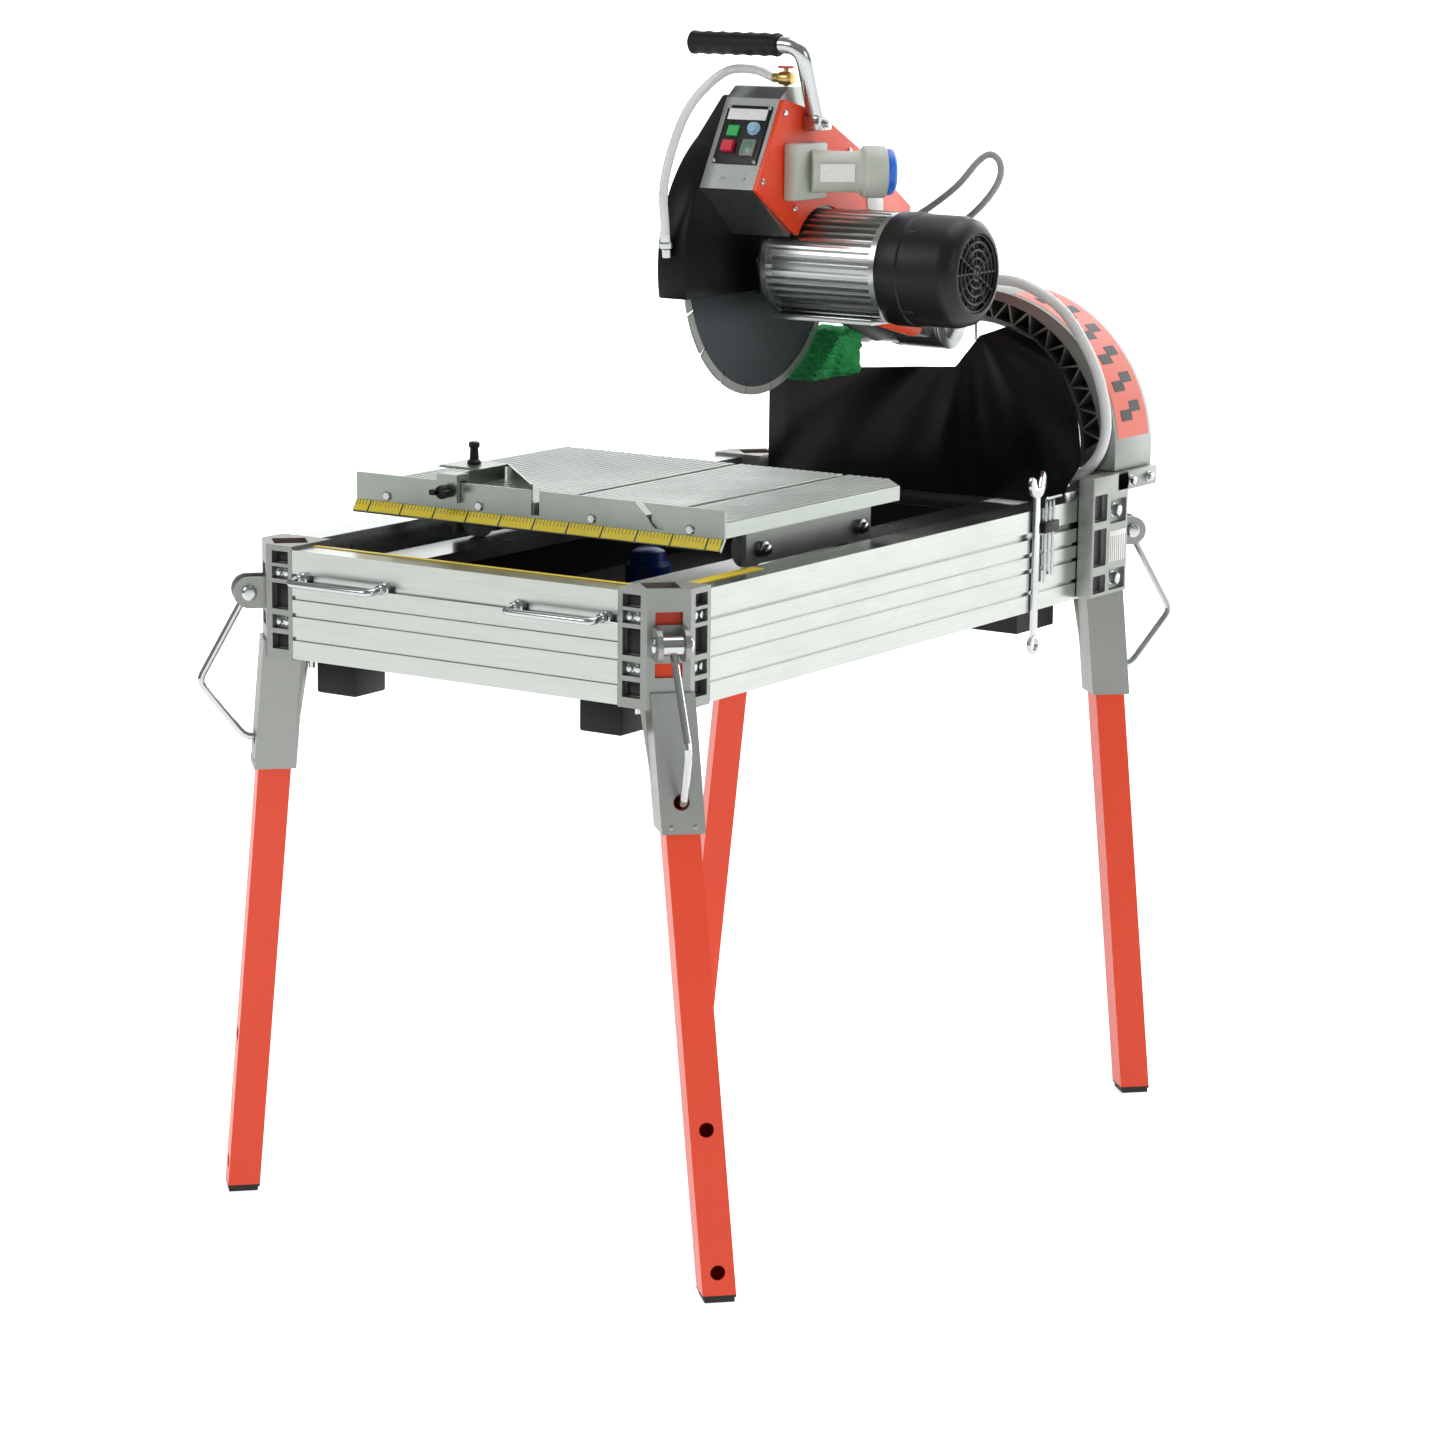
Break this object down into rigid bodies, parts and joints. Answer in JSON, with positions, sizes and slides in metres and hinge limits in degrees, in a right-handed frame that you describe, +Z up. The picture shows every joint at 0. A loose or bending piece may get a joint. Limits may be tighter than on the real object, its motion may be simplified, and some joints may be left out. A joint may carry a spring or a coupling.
{
  "type": "masonry saw on stand",
  "caption": "Wet masonry saw on a folding-leg stand: a rolling table with a ruled fence, and a saw head that tilts on an arched arm, plunges and spins its diamond blade",
  "frame": {"origin": "on the floor, at the middle of the bounding box, which is also the middle of the leg pattern and the blade's plane", "axes": "+X to the operator's right, +Y away from the operator, +Z up"},
  "size_m": [0.7754, 1.1866, 1.443],
  "materials": {
    "orange_paint": "matte powder coat",
    "cast_aluminium": "as cast, matt",
    "extruded_aluminium": "extruded, satin",
    "table_aluminium": "extruded, fine grooves",
    "zinc": "zinc plated",
    "black_plastic": "moulded",
    "black_rubber": "matt",
    "curtain_rubber": "smooth",
    "guard_black": "satin paint",
    "blade_steel": "painted core, bare rim",
    "motor_aluminium": "cast fins",
    "pump_blue": "moulded",
    "inlet_grey": "moulded",
    "clear_hose": "clear, braided",
    "brush_green": "fibre mat",
    "button_green": "moulded",
    "button_red": "moulded"
  },
  "bodies": {
    "stand": {"front_rail": "extruded_aluminium", "rear_rail": "extruded_aluminium", "left_rail": "extruded_aluminium", "right_rail": "extruded_aluminium", "corner_front_left": "cast_aluminium", "corner_front_right": "cast_aluminium", "corner_rear_left": "cast_aluminium", "corner_rear_right": "cast_aluminium", "water_tank": "black_plastic", "tank_sump": "black_plastic", "left_track": "extruded_aluminium", "right_track": "extruded_aluminium", "water_pump": "pump_blue", "rest_block_left": "black_rubber", "rest_block_right": "black_rubber", "carry_handle_left": "zinc", "carry_handle_right": "zinc", "arm_base": "cast_aluminium", "arch_arm": "cast_aluminium", "splash_curtain": "curtain_rubber", "feed_hose": "clear_hose", "spanner": "zinc"},
    "table": {"table_plank_left": "table_aluminium", "table_plank_middle": "table_aluminium", "table_plank_right": "table_aluminium", "table_crossbar": "cast_aluminium", "carriage_left": "cast_aluminium", "carriage_right": "cast_aluminium", "fence": "table_aluminium"},
    "stop": {"fence_stop": "table_aluminium", "mitre_square": "table_aluminium"},
    "stop_knob": {"stop_knob": "black_plastic"},
    "mitre_knob": {"mitre_knob": "black_plastic"},
    "tilt_head": {"tilt_bracket": "cast_aluminium"},
    "saw_head": {"swing_arm": "orange_paint", "blade_guard": "guard_black", "motor_housing": "motor_aluminium", "fan_cover": "black_plastic", "control_box": "extruded_aluminium", "power_inlet": "inlet_grey", "handle_bar": "zinc", "handle_grip": "black_rubber", "guard_hose": "clear_hose", "splash_brush": "brush_green"},
    "blade": {"blade": "blade_steel", "arbor": "zinc"},
    "start_button": {"start_button": "button_green"},
    "stop_button": {"stop_button": "button_red"},
    "leg_front_left": {"leg_front_left": "orange_paint"},
    "lever_front_left": {"lock_lever_front_left": "zinc"},
    "leg_front_right": {"leg_front_right": "orange_paint"},
    "lever_front_right": {"lock_lever_front_right": "zinc"},
    "leg_rear_left": {"leg_rear_left": "orange_paint"},
    "lever_rear_left": {"lock_lever_rear_left": "zinc"},
    "leg_rear_right": {"leg_rear_right": "orange_paint"},
    "lever_rear_right": {"lock_lever_rear_right": "zinc"},
    "roller_front_left": {"roller_front_left": "black_plastic"},
    "roller_front_right": {"roller_front_right": "black_plastic"},
    "roller_rear_left": {"roller_rear_left": "black_plastic"},
    "roller_rear_right": {"roller_rear_right": "black_plastic"}
  },
  "joints": [
    {"name": "leg_front_left_slide", "type": "slide", "parent": "stand", "child": "leg_front_left", "axis": [0.1048, 0, 0.9945], "range_m": [-0.1, 0.555]},
    {"name": "lever_front_left_swing", "type": "hinge", "parent": "stand", "child": "lever_front_left", "pos_m": [-0.31114, -0.55414, 0.775], "axis": [-0.7071, 0.7071, 0], "range_deg": [0, 100]},
    {"name": "leg_front_right_slide", "type": "slide", "parent": "stand", "child": "leg_front_right", "axis": [-0.1048, 0, 0.9945], "range_m": [-0.1, 0.555]},
    {"name": "lever_front_right_swing", "type": "hinge", "parent": "stand", "child": "lever_front_right", "pos_m": [0.31114, -0.55414, 0.775], "axis": [-0.7071, -0.7071, 0], "range_deg": [0, 100]},
    {"name": "leg_rear_left_slide", "type": "slide", "parent": "stand", "child": "leg_rear_left", "axis": [0.1048, 0, 0.9945], "range_m": [-0.1, 0.555]},
    {"name": "lever_rear_left_swing", "type": "hinge", "parent": "stand", "child": "lever_rear_left", "pos_m": [-0.31114, 0.55414, 0.775], "axis": [0.7071, 0.7071, 0], "range_deg": [0, 100]},
    {"name": "leg_rear_right_slide", "type": "slide", "parent": "stand", "child": "leg_rear_right", "axis": [-0.1048, 0, 0.9945], "range_m": [-0.1, 0]},
    {"name": "lever_rear_right_swing", "type": "hinge", "parent": "stand", "child": "lever_rear_right", "pos_m": [0.31114, 0.55414, 0.775], "axis": [0.7071, -0.7071, 0], "range_deg": [0, 100]},
    {"name": "table_slide", "type": "slide", "parent": "stand", "child": "table", "axis": [0, 1, 0], "range_m": [-0.08, 0.26]},
    {"name": "roller_front_left_spin", "type": "hinge", "parent": "table", "child": "roller_front_left", "pos_m": [-0.2025, -0.23, 0.837], "axis": [1, 0, 0], "continuous": true},
    {"name": "roller_front_right_spin", "type": "hinge", "parent": "table", "child": "roller_front_right", "pos_m": [0.2025, -0.23, 0.837], "axis": [1, 0, 0], "continuous": true},
    {"name": "roller_rear_left_spin", "type": "hinge", "parent": "table", "child": "roller_rear_left", "pos_m": [-0.2025, -0.004, 0.837], "axis": [1, 0, 0], "continuous": true},
    {"name": "roller_rear_right_spin", "type": "hinge", "parent": "table", "child": "roller_rear_right", "pos_m": [0.2025, -0.004, 0.837], "axis": [1, 0, 0], "continuous": true},
    {"name": "stop_slide", "type": "slide", "parent": "table", "child": "stop", "axis": [1, 0, 0], "range_m": [-0.06, 0]},
    {"name": "stop_knob_turn", "type": "hinge", "parent": "stop", "child": "stop_knob", "pos_m": [-0.127, -0.408, 0.895], "axis": [0, -1, 0], "range_deg": [-360, 360]},
    {"name": "mitre_knob_turn", "type": "hinge", "parent": "stop", "child": "mitre_knob", "pos_m": [-0.179, -0.272, 0.925], "axis": [0, 0, 1], "range_deg": [-360, 360]},
    {"name": "head_tilt", "type": "hinge", "parent": "stand", "child": "tilt_head", "pos_m": [0, 0.47, 1.055], "axis": [0, -1, 0], "range_deg": [0, 45]},
    {"name": "head_plunge", "type": "hinge", "parent": "tilt_head", "child": "saw_head", "pos_m": [0, 0.427, 1.055], "axis": [1, 0, 0], "range_deg": [0, 22], "stiffness_Nm_per_rad": 60, "springref_deg": -91.67},
    {"name": "blade_spin", "type": "hinge", "parent": "saw_head", "child": "blade", "pos_m": [0, 0.1006, 1.152], "axis": [1, 0, 0], "continuous": true},
    {"name": "start_button_press", "type": "slide", "parent": "saw_head", "child": "start_button", "axis": [0, 0.8779, -0.4789], "range_m": [0, 0.003], "stiffness_N_per_m": 400, "springref_m": -0.002},
    {"name": "stop_button_press", "type": "slide", "parent": "saw_head", "child": "stop_button", "axis": [0, 0.8779, -0.4789], "range_m": [0, 0.003], "stiffness_N_per_m": 400, "springref_m": -0.002}
  ],
  "couplings": [
    {"joint": "roller_front_left_spin", "follows": "table_slide", "rad_per_m": -40},
    {"joint": "roller_front_right_spin", "follows": "table_slide", "rad_per_m": -40},
    {"joint": "roller_rear_left_spin", "follows": "table_slide", "rad_per_m": -40},
    {"joint": "roller_rear_right_spin", "follows": "table_slide", "rad_per_m": -40}
  ]
}
